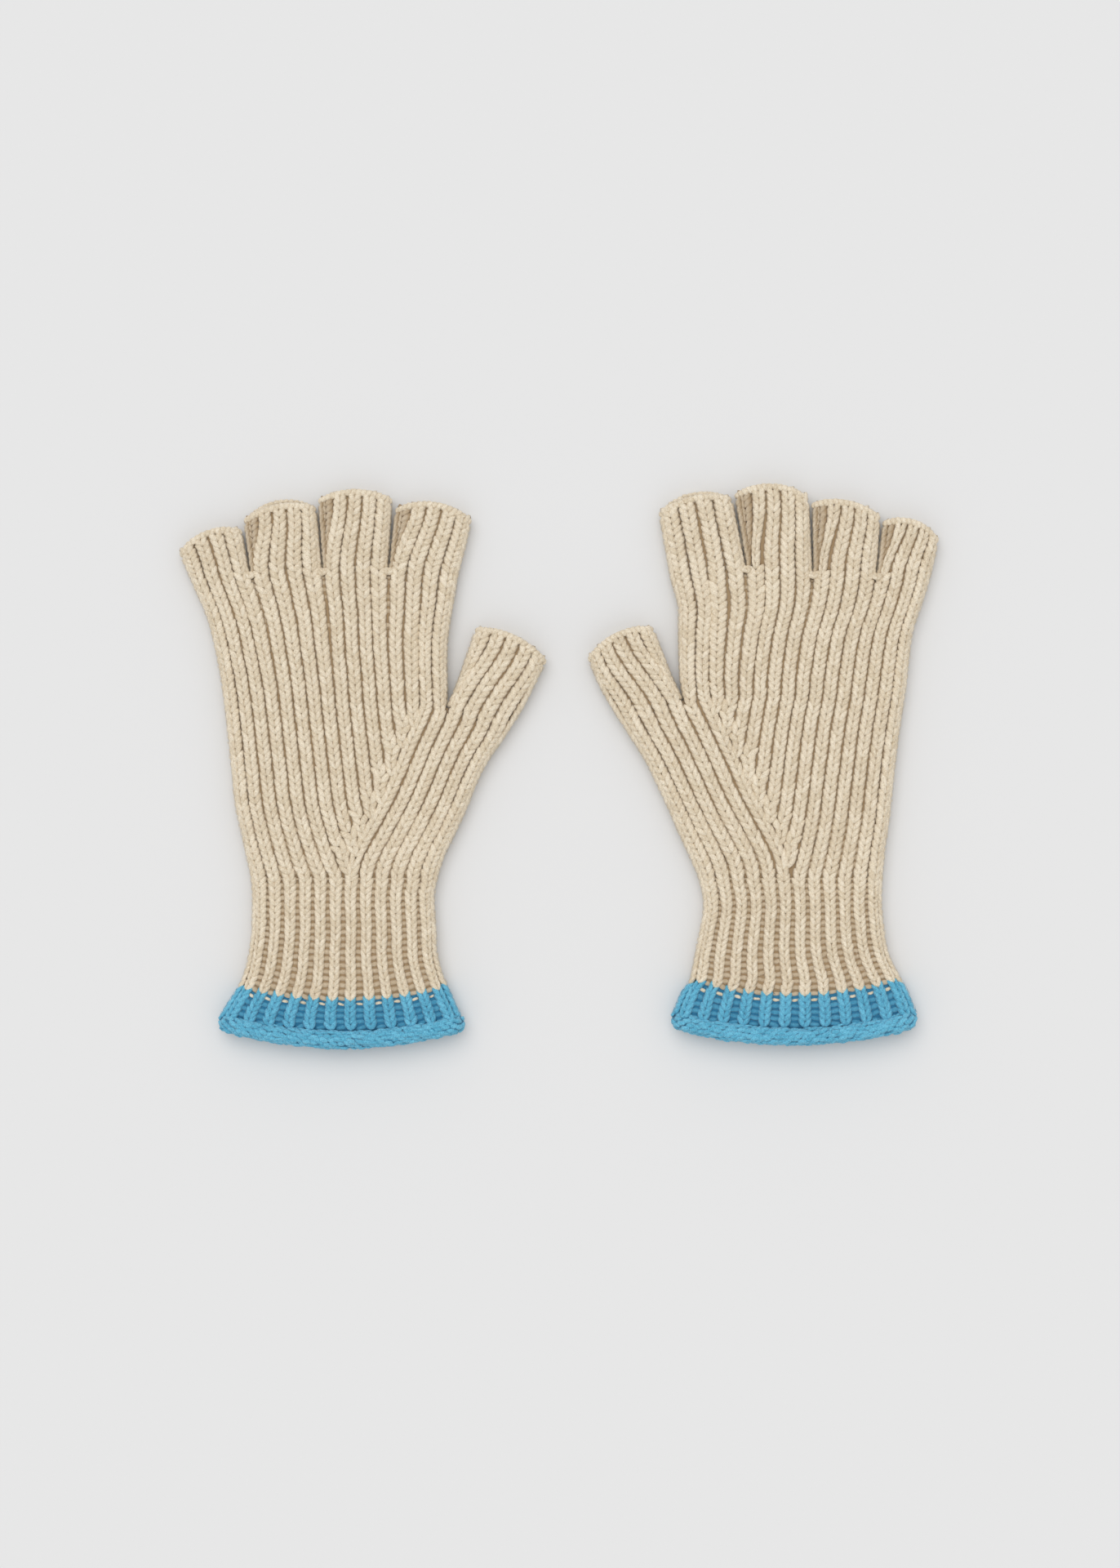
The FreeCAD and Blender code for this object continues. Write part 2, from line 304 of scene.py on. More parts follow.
    def palm_rib(self, k, rows):
        """Rib k across the palm, counted from the little finger."""
        rows = np.asarray(rows, float)
        finger, i = divmod(k, RIBS_PER_FINGER)
        root = self.digit_point(FINGERS[finger], i, np.zeros(1))[0]
        v = self.hand_height(rows, root[0])
        low = at_height(self.outer, v)
        high = np.where(v < self.crotch[1], 0, at_height(self.index_outer, v))
        crotch_width = self.crotch[0] - at_height(self.outer, self.crotch[1])
        wrist_width = at_height(self.thumb_outer, WRIST_TOP) - at_height(self.outer, WRIST_TOP)
        crotch_pitch = (crotch_width + PALM_SPARE) / (PALM_RIBS + 1)
        wrist_pitch = (wrist_width + PALM_SPARE) / (WRIST_RIBS + 1)
        settled = 1 - np.exp(-np.maximum(v - WRIST_TOP - 1, 0) / 12)
        pitch = np.where(v < self.crotch[1], mix(wrist_pitch, crotch_pitch, settled),
                         (high - low + PALM_SPARE) / (PALM_RIBS + 1))
        share = ((k + 1) * pitch - 2.66) / (at_height(self.index_outer, v) - low)
        edges = at_height(self.outer, root[1]), at_height(self.index_outer, root[1])
        root_share = (root[0] - edges[0]) / (edges[1] - edges[0])
        share = mix(share, root_share, ease((rows - GUSSET_ROWS + 4) / (HAND_ROWS + 4)))
        return np.stack([mix(low, at_height(self.index_outer, v), share), v], -1)

    def chain_rib(self, rows):
        """The chain of stitches along the palm's side of the seam, which rises from the wrist's middle
        rib."""
        rows = np.asarray(rows, float)
        line = along(self.seam, rows / CHAIN_ROWS)
        ahead = along(self.seam, rows / CHAIN_ROWS + 0.01)
        aside = unit(ahead - line)
        chain = line + np.stack([-aside[..., 1], aside[..., 0]], -1) * 2.95
        palm = self.palm_rib(CHAIN_RIB, rows)
        wrist = self.wrist_rib(WRIST_RIBS // 2, np.zeros(1))[0]
        chain = mix(wrist, chain, ease((rows + 1.5) / 5)[..., None])
        return mix(chain, palm, ease((rows - CHAIN_ROWS + 4) / 4)[..., None])

    def gusset_rib(self, g, rows):
        """Rib g between the seam and the thumb's outer edge."""
        rows = np.asarray(rows, float)
        share = rows / GUSSET_ROWS
        inner = along(self.seam, share * self.share_at(self.seam, self.crotch[1] + 1.0))
        start = self.share_at(self.thumb_outer, WRIST_TOP)
        end = self.share_at(self.thumb_outer, self.thumb_root[1])
        outer = along(self.thumb_outer, mix(start, end, share))
        width = np.linalg.norm(outer - inner, axis=-1, keepdims=True)
        pitch = (width + 1.9) / (GUSSET_RIBS + 0.5)
        return inner + (outer - inner) / width * ((g + 0.5) * pitch + 0.1)

    def digit_sides(self, name):
        """A digit's two edges from its root, little-finger side first."""
        if name == "thumb":
            start = self.share_at(self.thumb_outer, self.thumb_root[1])
            outer = along(self.thumb_outer, np.linspace(start, 1, 12))
            return self.thumb_inner, outer
        f = FINGERS.index(name)
        if f == 0:
            start = self.share_at(self.outer, self.top[0][1])
            low = along(self.outer, np.linspace(start, 1, 8))
        else:
            low = self.flanks[f - 1][1]
        if f == 3:
            start = self.share_at(self.index_outer, self.top[4][1])
            high = along(self.index_outer, np.linspace(start, 1, 12))
        else:
            high = self.flanks[f][0]
        return low, high

    def digit_row(self, name, share):
        """Both ends of a row across a digit, at a share of its length."""
        low, high = self.digit_sides(name)
        return along(low, share), along(high, share)

    def digit_cross(self, name, across, share):
        """The plan point at a share of the way across a digit's row."""
        a, b = self.digit_row(name, share)
        d = b - a
        forward = unit(np.stack([-d[..., 1], d[..., 0]], -1))
        rise = self.shape["bulges"][name] * 4 * across * (1 - across) * share
        return a + d * np.asarray(across)[..., None] + forward * rise[..., None]

    def digit_ribs(self, name):
        """The first rib of a digit, and the one after its last."""
        if name == "thumb":
            return -1, RIBS_PER_FINGER
        side = self.shape["flank_side"] if name in self.shape["flanked"] else 0
        return (-1 if side < 0 else 0), RIBS_PER_FINGER + (side > 0)

    def digit_point(self, name, i, rows):
        """Rib i of a digit. Its first four run on from the hand, and a rib -1 or 4 starts in a crotch."""
        rows = np.asarray(rows, float)
        share = rows / DIGIT_ROWS[name]
        a, b = self.digit_row(name, share)
        width = np.linalg.norm(b - a, axis=-1)
        low, high = self.digit_ribs(name)
        if name == "thumb":
            start, end = self.digit_row(name, np.zeros(1))
            joins = self.gusset_rib(max(i, 0) + 1, np.array([GUSSET_ROWS + 0.5]))
            root = np.sum((joins - start) * unit(end - start))
        else:
            root = (i + 1) * (width + DIGIT_SPARE) / (RIBS_PER_FINGER + 1) - DIGIT_SPARE / 2
        tip = (i + 1 - low) * (width + DIGIT_SPARE) / (high - low + 1) - DIGIT_SPARE / 2
        aside = mix(root, tip, ease(share * 1.15))  # from the row's low end
        if i < 0:
            aside = mix(1.0, tip, ease(share * 1.2))
        if i >= RIBS_PER_FINGER:
            aside = mix(width - 1.0, tip, ease(share * 1.2))
        return self.digit_cross(name, aside / width, share)


# ---------------------------------------------------------------- yarn grains

def grain(length, width, thick, start, lean, arch, peak, shear=0.0, sides=6, rings=5):
    """One leg of a stitch: a tapered capsule along +y, that sets out from x = start, leans in x and
    arches in z, highest at `peak` of its half length. Returns points, triangles, and each point's painted
    shade, by its depth, from 0 on top to 1 underneath."""
    y = np.linspace(-1, 1, rings + 2)
    y[1:-1] *= 1.12
    ring = np.arange(sides) * 2 * np.pi / sides
    points = []
    for t in y[1:-1]:
        swell = math.sqrt(max(1 - abs(t) ** 2.6, 0.02))
        points.append(np.stack([start + lean * t + width / 2 * swell * np.cos(ring),
                                np.full(sides, t * length / 2),
                                -arch * (t - peak) ** 2 + thick / 2 * swell * np.sin(ring)], -1))
    ends = [[start + lean * t, t * length / 2, -arch * (t - peak) ** 2] for t in (-1, 1)]
    points = np.vstack(points + [ends])
    points[:, 1] += shear * (points[:, 0] - start)
    points[:, 2] -= points[:, 0] ** 2 / 5.4  # the rib is rounded across
    faces = []
    for k in range(rings - 1):
        for s in range(sides):
            a, b = k * sides + s, k * sides + (s + 1) % sides
            faces += [(a, b, b + sides), (a, b + sides, a + sides)]
    low_end, high_end = rings * sides, rings * sides + 1
    last = (rings - 1) * sides
    for s in range(sides):
        faces.append((low_end, (s + 1) % sides, s))
        faces.append((high_end, last + s, last + (s + 1) % sides))
    # Painted shade: the lower a point lies in the grain, the darker its colour.
    deep = np.clip(0.2 - points[:, 2] / 2.4, 0, 1)
    return points, np.array(faces), deep


RIB_WIDTH, ROW_HEIGHT = 5.2, 2.88  # what the grains are drawn for: one rib of two legs, and one row
RIGHT_LEG = grain(4.6, 2.8, 2.0, 1.16, 0.47, 0.5, -0.3, shear=0.62)
LEFT_LEG = (RIGHT_LEG[0] * [-1, 1, 1], RIGHT_LEG[1][:, ::-1], RIGHT_LEG[2])
BUMP = grain(4.2, 2.8, 1.9, 0, 0, 0.35, 0, rings=3)
DOT = (BUMP[0] * [0.6, 0.7, 1], BUMP[1], BUMP[2])
# Purls lie deep in the grooves between ribs, so painted shade is added to their colour.
PURL = (BUMP[0], BUMP[1], np.minimum(BUMP[2] + 0.75, 1.0))
KNOT = grain(3.6, 2.3, 1.9, 0, 0.2, 0.35, 0, rings=4)
CAST = grain(3.3, 2.6, 2.0, 0, 0.3, 0.5, -0.2)
CURL = grain(4.0, 2.3, 1.3, 0, 0.3, 0.3, 0, rings=4)
FIBRE = grain(3.0, 0.12, 0.12, 0, 0.3, -0.45, 0, sides=3, rings=3)


class Yarn:
    """Grains gathered for each piece, then made into one mesh a piece."""

    def __init__(self, glove):
        self.glove = glove
        self.points, self.faces, self.deep, self.tone = (defaultdict(list) for _ in range(4))
        self.count = defaultdict(int)

    def add_mesh(self, piece, points, faces, deep, tone):
        """Points in the glove's millimetres."""
        self.points[piece].append(points)
        self.faces[piece].append(faces + self.count[piece])
        self.deep[piece].append(deep)
        self.tone[piece].append(tone)
        self.count[piece] += len(points)

    def add(self, piece, shape, at, across, up, out, wide=1.0, long=1.0, mirrored=False, rough=1.0):
        """Copies of a grain at points `at`, with their axes across, up and out. mirrored turns the faces
        over."""
        n = len(at)
        if n == 0:
            return
        template, faces, deep = shape
        turn = rng.normal(0, 0.045 * rough, n)[:, None]
        x_axis = across + up * turn
        y_axis = up - across * turn
        grow = 1 + rng.normal(0, 0.035, (n, 3))
        wide, long = np.broadcast_to(wide, n), np.broadcast_to(long, n)
        loose = 0.0 if shape is FIBRE else 0.035 * rough
        local = template[None] + rng.normal(0, loose, (n, len(template), 3))
        x = local[..., 0] * (wide * grow[:, 0])[:, None]
        y = local[..., 1] * (long * grow[:, 1])[:, None]
        z = local[..., 2] * grow[:, 2][:, None] + rng.normal(0, 0.05 * rough, n)[:, None]
        points = (at[:, None] + x[..., None] * x_axis[:, None] + y[..., None] * y_axis[:, None]
                  + z[..., None] * out[:, None]).reshape(-1, 3)
        order = faces[:, ::-1] if mirrored else faces
        many = (order[None] + (np.arange(n) * len(template))[:, None, None]).reshape(-1, 3)
        tone = np.repeat(rng.random(n), len(template))
        self.add_mesh(piece, points, many, np.tile(deep, n), tone)

    def add_fuzz(self, piece, at, across, up, out, mirrored):
        """A loose fibre by each stitch, in any direction."""
        turn = rng.uniform(0, 2 * np.pi, len(at))[:, None]
        aside = across * np.cos(turn) + up * np.sin(turn)
        ahead = up * np.cos(turn) - across * np.sin(turn)
        where = at + across * rng.normal(0, 1.2, len(at))[:, None]
        where = where + out * rng.uniform(0.5, 0.9, len(at))[:, None]
        long = rng.uniform(0.6, 1.4, len(at))
        self.add(piece, FIBRE, where, aside, ahead, out, long=long, mirrored=mirrored)

    def build(self, piece, material):
        """A piece's grains as one mesh object."""
        name = f"{self.glove.side}_{piece}"
        co = self.glove.place(np.vstack(self.points[piece]))
        co[:, 2] = np.maximum(co[:, 2], 0.05 * MM)  # pressed flat where it lies on the floor
        faces = np.vstack(self.faces[piece])
        if self.glove.sign < 0:
            faces = faces[:, ::-1]
        mesh = bpy.data.meshes.new(name + "_knit")
        mesh.vertices.add(len(co))
        mesh.vertices.foreach_set("co", co.astype(np.float32).ravel())
        mesh.loops.add(faces.size)
        mesh.loops.foreach_set("vertex_index", faces.astype(np.int32).ravel())
        mesh.polygons.add(len(faces))
        mesh.polygons.foreach_set("loop_start", np.arange(0, faces.size, 3, dtype=np.int32))
        mesh.update(calc_edges=True)
        mesh.polygons.foreach_set("use_smooth", np.ones(len(faces), bool))
        # Each point's painted shade and its random tone go to the material.
        for label, values in (("deep", self.deep[piece]), ("tone", self.tone[piece])):
            layer = mesh.attributes.new(label, "FLOAT", "POINT")
            layer.data.foreach_set("value", np.concatenate(values).astype(np.float32))
        mesh.materials.append(material)
        obj = bpy.data.objects.new(name + "_knit", mesh)
        bpy.context.scene.collection.objects.link(obj)
        return obj


def sheet_axes(glove, path, rows, layer):
    """Where a rib's stitches sit on one layer, and their axes. path gives plan points at rows."""
    uv, ahead, behind = path(rows), path(rows + 0.35), path(rows - 0.35)
    at = glove.lift(uv)
    up = unit(glove.lift(ahead) - glove.lift(behind))
    step = 0.5  # for the surface's slope
    du = (glove.height(uv + [step, 0]) - glove.height(uv - [step, 0])) / (2 * step)
    dv = (glove.height(uv + [0, step]) - glove.height(uv - [0, step])) / (2 * step)
    out = unit(np.stack([-du, -dv, np.ones(len(uv))], -1))
    up = unit(up - out * (up * out).sum(-1, keepdims=True))
    across = np.cross(up, out)
    pitch = np.linalg.norm(ahead - behind, axis=-1) / 0.7
    if layer < 0:
        flip = np.array([1, 1, -1])
        at = np.column_stack([at[:, :2], glove.thickness(uv[:, 1]) - at[:, 2]])
        up, out, across = up * flip, out * flip, across * flip
    return at, across, up, out, pitch


def knit_rib(yarn, path, beside, first, last, piece_at, fill=0.99, dark=0.0):
    """Both layers of one rib, from row first to row last. beside is its neighbour's path, and fill how
    much of the space between them a rib takes, as a number or as a function of v. piece_at names the
    piece that each row belongs to. dark is more than 0 for a rib that sits in a hollow: the rib is sunk
    by that many mm, and that much painted shade is added to its colour."""
    rows = np.arange(first, last) + 0.5
    if len(rows) == 0:
        return
    names = np.array([piece_at(r) for r in rows])
    space = np.linalg.norm(path(rows) - beside(rows), axis=-1)
    if callable(fill):
        fill = fill(path(rows)[:, 1])
    wide = np.clip(space * fill / RIB_WIDTH, 0.75, 1.5)
    for layer in (1, -1):
        at, across, up, out, pitch = sheet_axes(yarn.glove, path, rows, layer)
        for name in np.unique(names):
            m = names == name
            for points, faces, deep in (RIGHT_LEG, LEFT_LEG):
                leg = (points, faces, np.minimum(deep + dark, 1.0))
                yarn.add(name, leg, at[m] - out[m] * dark, across[m], up[m], out[m], wide[m],
                         pitch[m] / ROW_HEIGHT, mirrored=layer < 0)
            yarn.add_fuzz(name, at[m], across[m], up[m], out[m], layer < 0)


def knit_purls(yarn, path_a, path_b, first, last, piece, sunk, shape=PURL):
    """The recessed bumps between two neighbouring ribs."""
    between = lambda r: (path_a(r) + path_b(r)) / 2
    rows = np.arange(first, last) + 1.0
    gap = np.linalg.norm(path_a(rows) - path_b(rows), axis=-1)
    for layer in (1, -1):
        at, across, up, out, pitch = sheet_axes(yarn.glove, between, rows, layer)
        yarn.add(piece, shape, at - out * sunk, -up, across, out, pitch / ROW_HEIGHT, gap / 6.2,
                 mirrored=layer < 0, rough=2.5)


def knit_edge(yarn, curve, fabric_right, piece_at, dark=0.0):
    """The rib that lies on a fold, along an outline curve. fabric_right says which side of it the glove
    is, and dark is how much painted shade is added to its colour."""
    total = lengths(curve)[-1]
    count = max(int(round(total / ROW_HEIGHT)), 1)
    share = (np.arange(count) + 0.5) / count * (1 - 2.2 / total)  # stops short of the cast-off rim
    uv = along(curve, share)
    ahead = unit(along(curve, share + 0.2 / count) - along(curve, share - 0.2 / count))
    left = np.stack([-ahead[:, 1], ahead[:, 0]], -1)
    outward = left if fabric_right else -left
    uv = uv - outward * YARN_SKIN
    middle = yarn.glove.thickness(uv[:, 1]) / 2
    at = np.column_stack([uv, middle])
    up = np.column_stack([ahead, np.zeros(count)])
    out = np.column_stack([outward, np.zeros(count)])
    across = np.cross(up, out)
    names = np.array([piece_at(p) for p in uv])
    for name in np.unique(names):
        m = names == name
        for points, faces, deep in (RIGHT_LEG, LEFT_LEG):
            leg = (points, faces, np.minimum(deep + dark, 1.0))
            yarn.add(name, leg, at[m], across[m], up[m], out[m], middle[m] / 4.6, total / count / ROW_HEIGHT)
        for _ in range(3):
            yarn.add_fuzz(name, at[m], across[m], up[m], out[m], False)


def ring_points(glove, a, b, bow, count, sunk):
    """A closed ring of points round both layers, between plan points a and b. bow gives the plan points
    at shares of the way."""
    w = (1 - np.cos(np.linspace(0, np.pi, count))) / 2
    inset = (YARN_SKIN + sunk) / np.linalg.norm(b - a)
    uv = bow(inset + w * (1 - 2 * inset))
    top = glove.lift(uv, 1, sunk)
    low = glove.lift(uv, -1, sunk)
    return np.vstack([top, low[-2:0:-1]])


def lining(yarn, piece, rows, count=36):
    """The closed shell under the stitches. rows is a list of (a, b, bow) across the tube."""
    glove = yarn.glove
    outer = [ring_points(glove, *row, count, LINING_DEPTH) for row in rows]
    inner = [ring_points(glove, *row, count, LINING_DEPTH + LINING_WALL) for row in rows]
    loops = outer + inner[::-1]
    size = len(loops[0])
    points = np.vstack(loops)
    faces = []
    around = np.arange(size)
    after = (around + 1) % size
    for k in range(len(loops)):
        low, high = k * size, (k + 1) % len(loops) * size
        faces.append(np.stack([low + around, low + after, high + after], -1))
        faces.append(np.stack([low + around, high + after, high + around], -1))
    faces = np.vstack(faces)[:, ::-1]
    # The shell is the knitting seen through the gaps, but it is coloured all in the painted shade colour,
    # for the shade in those gaps.
    yarn.add_mesh(piece, points, faces, np.ones(len(points)), np.full(len(points), 0.5))


def cast_off(yarn, name):
    """The finished rim of a digit: a chain of stitches all round its open end."""
    glove = yarn.glove
    w = (1 - np.cos(np.pi * np.linspace(0, 1, 60))) / 2
    uv = glove.digit_cross(name, w, np.ones(len(w)))
    a, b = glove.digit_row(name, np.ones(1))
    forward = unit(np.array([-(b - a)[0, 1], (b - a)[0, 0]]))
    inset = YARN_SKIN * (1 - 2 * w)
    uv = uv + unit((b - a)[0]) * inset[:, None]
    peek = glove.shape["peek"].get(name, 0.0) * 4 * w * (1 - w)
    upper = glove.lift(uv, 1, 0.25)
    lower = glove.lift(uv + forward * peek[:, None], -1, 0.25)
    total, on = closed_loop(np.vstack([upper, lower[-2:0:-1], upper[:1]]))
    n = int(round(total / 2.1))
    where = (np.arange(n) + 0.5) / n * total
    at = on(where)
    tangent = unit(on(where + 0.6) - on(where - 0.6))
    ahead = np.tile(np.append(forward, 0.0), (n, 1))
    out = unit(np.cross(tangent, ahead))
    for side, drop, push in ((1, 0.0, -0.9), (-1, 1.6, -0.8)):
        up = unit(side * ahead + 0.55 * tangent)
        yarn.add(name + "_edge", CAST, at - out * drop + ahead * push, np.cross(up, side * out), up,
                 side * out, rough=1.3)


# ---------------------------------------------------------------- knitting a glove

def knit_glove(glove):
    yarn = Yarn(glove)
    knit_wrist(yarn)
    knit_palm(yarn)
    knit_gusset(yarn)
    for name in FINGERS + ("thumb",):
        knit_digit(yarn, name)
    knit_folds(yarn)
    line_wrist(yarn)
    line_hand(yarn)
    knit_crotches(yarn)
    roll_hem(yarn)
    return yarn


def knit_wrist(yarn):
    """The wrist's ribs and the blue band's, with the purls between them."""
    border, hem = -WRIST_ROWS, -WRIST_ROWS - BAND_ROWS
    piece_at = lambda r: "cuff_band" if r < border else "wrist_rib"
    fill = lambda v: np.interp(v, [-38, -30, -5, 8], [0.69, 0.71, 0.86, 0.97])
    paths = [lambda r, i=i: yarn.glove.wrist_rib(i, r) for i in range(WRIST_RIBS)]
    for path, beside in zip(paths, paths[1:] + paths[-2:-1]):
        knit_rib(yarn, path, beside, hem, 0, piece_at, fill)
    for a, b in zip(paths, paths[1:]):
        knit_purls(yarn, a, b, border - 1, 0, "wrist_rib", sunk=1.45)
        knit_purls(yarn, a, b, border - 2, border - 1, "wrist_rib", sunk=1.3, shape=DOT)
        knit_purls(yarn, a, b, hem - 1, border - 2, "cuff_band", sunk=1.35)


def born_rib(glove, k, chain_line, top):
    """A palm rib that starts at the chain: its path, its first row, and how much wider it is there."""
    rows = np.arange(top) + 0.5
    middle = glove.palm_rib(k, rows)
    room = at_height(chain_line, middle[:, 1]) - middle[:, 0]

    def spread(r):
        free = np.interp(r, rows, room)
        return np.clip(free - 5.3, 0, 2.3) * (1 - ease((free - 7.6) / 3.0))

    path = lambda r: glove.palm_rib(k, r) + np.stack([spread(r) / 2, 0 * r], -1)
    return path, int(np.argmax(room > 2.2)), spread


def knit_palm(yarn):
    """The palm's ribs, from the wrist or from the seam, up to the fingers' roots."""
    glove = yarn.glove
    top = GUSSET_ROWS + HAND_ROWS
    chain_rows = range(0, CHAIN_ROWS + 1, 3)
    chain_line = smooth(np.array([glove.chain_rib(np.array([r]))[0] for r in chain_rows]))
    palm = [lambda r, k=k: glove.palm_rib(k, r) for k in range(PALM_RIBS)]

    def edge_path(r):
        """The gusset's first rib, which goes on as the palm's last one."""
        low = glove.gusset_rib(0, np.minimum(r, GUSSET_ROWS + 1))
        return mix(low, palm[EDGE_RIB](r), ease((r - GUSSET_ROWS + 3) / 4)[..., None])

    for k in range(PALM_RIBS):
        path, first, spread = palm[k], 0, lambda r: 0 * r
        if BORN_FIRST <= k <= BORN_LAST:
            path, first, spread = born_rib(glove, k, chain_line, top)
        if k == CHAIN_RIB:
            path = glove.chain_rib
        if k == EDGE_RIB:
            path = edge_path
        near = min(k, PALM_RIBS - 2)

        def beside(r, k=k, path=path, spread=spread, near=near):
            return path(r) + palm[near + 1](r) - palm[near](r) + np.stack([spread(r), 0 * r], -1)

        def piece_at(r, k=k):
            return "thumb_gusset" if k == EDGE_RIB and r < GUSSET_ROWS - 2 else "hand_body"

        knit_rib(yarn, path, beside, first, top, piece_at, lambda v: np.interp(v, [8, 40], [0.96, 0.99]))

    for k in range(RIBS_PER_FINGER - 1, BORN_LAST, RIBS_PER_FINGER):  # below the gaps between fingers
        knit_purls(yarn, palm[k], palm[k + 1], top - 9, top - 1, "hand_body", sunk=1.9)
    for a, b in zip(palm, palm[1:BORN_FIRST]):
        knit_purls(yarn, a, b, 0, 9, "hand_body", sunk=1.8)


def knit_gusset(yarn):
    paths = [lambda r, g=g: yarn.glove.gusset_rib(g, r) for g in range(GUSSET_RIBS)]
    for a, b in zip(paths, paths[1:]):
        knit_purls(yarn, a, b, 0, 9, "thumb_gusset", sunk=1.8)
    for path, beside in zip(paths[1:], paths):
        knit_rib(yarn, path, beside, 0, GUSSET_ROWS + 1, lambda r: "thumb_gusset")


def knit_digit(yarn, name):
    """A digit's ribs, its lining and its rim."""
    glove, rows = yarn.glove, DIGIT_ROWS[name]
    low, high = glove.digit_ribs(name)
    stretch = (rows - 0.85) / (rows - 0.5)  # leaves room for the rim
    paths = [lambda r, i=i: glove.digit_point(name, i, r * stretch) for i in range(low, high)]
    for i, path, beside in zip(range(low, high), paths, paths[1:] + paths[-2:-1]):
        # A rib that starts in a crotch lies in the hollow between fingers: it is sunk and gets painted
        # shade.
        shaded = name != "thumb" and not 0 <= i < RIBS_PER_FINGER
        knit_rib(yarn, path, beside, 0, rows, lambda r: name + "_tube", dark=0.7 if shaded else 0.0)
    lining_rows = []
    for share in np.linspace(0, 1, rows + 1):
        a, b = glove.digit_row(name, np.array([share]))
        bow = lambda w, share=share: glove.digit_cross(name, w, np.full(len(w), share))
        lining_rows.append((a[0], b[0], bow))
    lining(yarn, name + "_tube", lining_rows, count=20)
    cast_off(yarn, name)


def knit_folds(yarn):
    """The ribs on the outline: the glove's two sides, and both sides of every gap between digits."""
    glove = yarn.glove
    roll = glove.arc("roll_top", ROLL_HALF)

    def above_roll(curve):
        return along(curve, np.linspace(glove.share_at(curve, roll), 1, 90))

    def side_piece(p, root, tube, hand):
        """The piece at a point of the glove's side, where a digit's tube starts at height root."""
        if p[1] > root:
            return tube
        if p[1] > WRIST_TOP:
            return hand
        return "wrist_rib" if p[1] > glove.arc("border", p[0]) else "cuff_band"

    little_root, index_root, thumb_root = glove.top[0][1], glove.top[4][1], glove.thumb_root[1]
    knit_edge(yarn, above_roll(glove.outer), True,
              lambda p: side_piece(p, little_root, "little_tube", "hand_body"))
    knit_edge(yarn, above_roll(glove.thumb_outer), False,
              lambda p: side_piece(p, thumb_root, "thumb_tube", "thumb_gusset"))
    knit_edge(yarn, glove.thumb_inner, True, lambda p: "thumb_tube")
    knit_edge(yarn, glove.index_outer, False, lambda p: side_piece(p, index_root, "index_tube", "hand_body"))
    side = glove.shape["flank_side"]
    # On each gap, the fold on the flank_side of its finger gets painted shade, as it lies in the shade of
    # the neighbouring finger.
    for f, (low, high) in enumerate(glove.flanks):
        knit_edge(yarn, low, False, lambda p, f=f: FINGERS[f] + "_tube", dark=0.45 * (side > 0))
        knit_edge(yarn, high, True, lambda p, f=f: FINGERS[f + 1] + "_tube", dark=0.45 * (side < 0))


def bowed_row(a, b, v_at):
    """A row for a lining, from a to b, with v_at giving its v at each u."""
    def bow(w):
        u = a[0] + (b[0] - a[0]) * w
        return np.stack([u, v_at(u)], -1)
    return a, b, bow


def line_wrist(yarn):
    """The shells under the stitches of the wrist and of the blue band."""
    glove = yarn.glove
    border = lambda u: glove.arc("border", u)
    roll = lambda u: glove.arc("roll_top", u)

    def row(v, v_at):
        """A row right across at v, bowed to v_at."""
        ends = [np.array([at_height(edge, v), v]) for edge in (glove.outer, glove.thumb_outer)]
        return bowed_row(*ends, v_at)

    lining(yarn, "wrist_rib", [
        row(mix(WRIST_TOP, border(CUFF_HALF), s), lambda u, s=s: mix(WRIST_TOP, border(u), s))
        for s in np.linspace(0, 1, 14)])
    lining(yarn, "cuff_band", [
        row(mix(border(CUFF_HALF), roll(ROLL_HALF), s), lambda u, s=s: mix(border(u), roll(u) - 2, s))
        for s in np.linspace(0, 1, 5)])


def line_hand(yarn):
    """The shells under the stitches of the hand: with the gusset, and above it."""
    glove = yarn.glove
    start = glove.share_at(glove.thumb_outer, WRIST_TOP)
    end = glove.share_at(glove.thumb_outer, glove.thumb_root[1])
    seam_end = glove.share_at(glove.seam, glove.crotch[1] + 1.0)
    rows = []
    for s in np.linspace(0, 1, GUSSET_ROWS):
        v = mix(WRIST_TOP, glove.crotch[1], s)
        a = np.array([at_height(glove.outer, v), v])
        b = along(glove.thumb_outer, mix(start, end, s))
        bent = np.vstack([a, along(glove.seam, s * seam_end), b])
        rows.append((a, b, lambda w, bent=bent: along(bent, w)))
    lining(yarn, "hand_body", rows, count=48)

    rows = []
    for s in np.linspace(0, 1, HAND_ROWS):
        v_low = mix(glove.crotch[1], glove.top[0][1], s)
        v_high = mix(glove.crotch[1], glove.top[4][1], s)
        a = np.array([at_height(glove.outer, v_low), v_low])
        b = np.array([at_height(glove.index_outer, v_high), v_high])
        roots = lambda u: np.interp(u, glove.top[:, 0], glove.top[:, 1])
        rows.append(bowed_row(a, b, lambda u, s=s: mix(glove.crotch[1], roots(u), s)))
    lining(yarn, "hand_body", rows, count=60)


def knit_crotches(yarn):
    """A small knot of stitches that closes each gap between fingers."""
    glove = yarn.glove
    for crotch in glove.crotches:
        thick = glove.thickness(crotch[1])
        for height in np.linspace(-1, 1, 7):
            for slant in (-1, 1):
                back = 1.6 * abs(height) ** 2 + 0.3
                z = thick / 2 + height * (thick / 2 - 1.5)
                at = np.array([[crotch[0] + slant * 0.9, crotch[1] - back, z]])
                out = unit(np.array([[0.0, 1.1 - abs(height), height]]))
                up = unit(np.array([[slant * 0.8, 0.6, 0]]))
                up = unit(up - out * (up * out).sum())
                yarn.add("crotch_stitches", KNOT, at, np.cross(up, out), up, out, 0.8, 0.9, rough=2.0)


